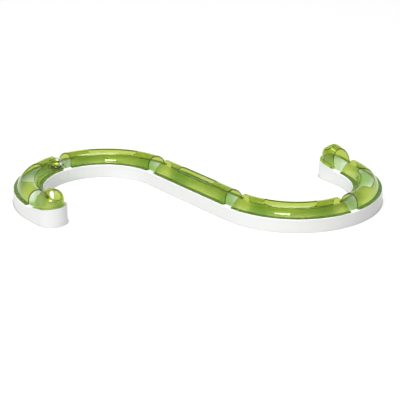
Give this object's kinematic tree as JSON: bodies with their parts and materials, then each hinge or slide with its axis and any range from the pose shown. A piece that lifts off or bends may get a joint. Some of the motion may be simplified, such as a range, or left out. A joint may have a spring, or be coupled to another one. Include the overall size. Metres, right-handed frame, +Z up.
{
  "type": "cat ball track toy",
  "caption": "S-shaped ball track toy for cats: white half-round channel modules, clear green lift-off covers with paw slots, domed end caps with peep holes, and a light-up ball inside.",
  "frame": {"origin": "centre of the S on the floor, in the middle of the straight module", "axes": "+Z up, +X along the straight module, +Y across it; the S runs from the end cap at -Y to the one at +Y"},
  "size_m": [0.584, 0.636, 0.067],
  "materials": {
    "white_shell": "smooth moulded gloss",
    "green_clear": "clear tinted, polished",
    "ball_clear": "clear, polished",
    "pod_dark": "fine matte",
    "board_green": "satin",
    "cell_steel": "brushed",
    "light_clear": "clear"
  },
  "bodies": {
    "track": {"left_end_base": "white_shell", "curve_base_1": "white_shell", "curve_base_2": "white_shell", "straight_base": "white_shell", "curve_base_3": "white_shell", "curve_base_4": "white_shell", "right_end_base": "white_shell"},
    "left_end_cover_body": {"left_end_cover": "green_clear"},
    "curve_cover_1_body": {"curve_cover_1": "green_clear"},
    "curve_cover_2_body": {"curve_cover_2": "green_clear"},
    "straight_cover_body": {"straight_cover": "green_clear"},
    "curve_cover_3_body": {"curve_cover_3": "green_clear"},
    "curve_cover_4_body": {"curve_cover_4": "green_clear"},
    "right_end_cover_body": {"right_end_cover": "green_clear"},
    "ball": {"ball_shell_lower": "ball_clear", "ball_shell_upper": "ball_clear", "pod_cup": "pod_dark", "pod_lid": "pod_dark", "circuit_board": "board_green", "button_cells": "cell_steel", "light_and_switch": "light_clear"}
  },
  "joints": [
    {"name": "left_end_cover_lift", "type": "slide", "parent": "track", "child": "left_end_cover_body", "axis": [0, 0, 1], "range_m": [0, 0.04]},
    {"name": "curve_cover_1_lift", "type": "slide", "parent": "track", "child": "curve_cover_1_body", "axis": [0, 0, 1], "range_m": [0, 0.04]},
    {"name": "curve_cover_2_lift", "type": "slide", "parent": "track", "child": "curve_cover_2_body", "axis": [0, 0, 1], "range_m": [0, 0.04]},
    {"name": "straight_cover_lift", "type": "slide", "parent": "track", "child": "straight_cover_body", "axis": [0, 0, 1], "range_m": [0, 0.04]},
    {"name": "curve_cover_3_lift", "type": "slide", "parent": "track", "child": "curve_cover_3_body", "axis": [0, 0, 1], "range_m": [0, 0.04]},
    {"name": "curve_cover_4_lift", "type": "slide", "parent": "track", "child": "curve_cover_4_body", "axis": [0, 0, 1], "range_m": [0, 0.04]},
    {"name": "right_end_cover_lift", "type": "slide", "parent": "track", "child": "right_end_cover_body", "axis": [0, 0, 1], "range_m": [0, 0.04]},
    {"name": "ball_run", "type": "hinge", "parent": "track", "child": "ball", "pos_m": [-0.118, -0.144, 0], "axis": [0, 0, 1], "range_deg": [-92, 82]}
  ]
}
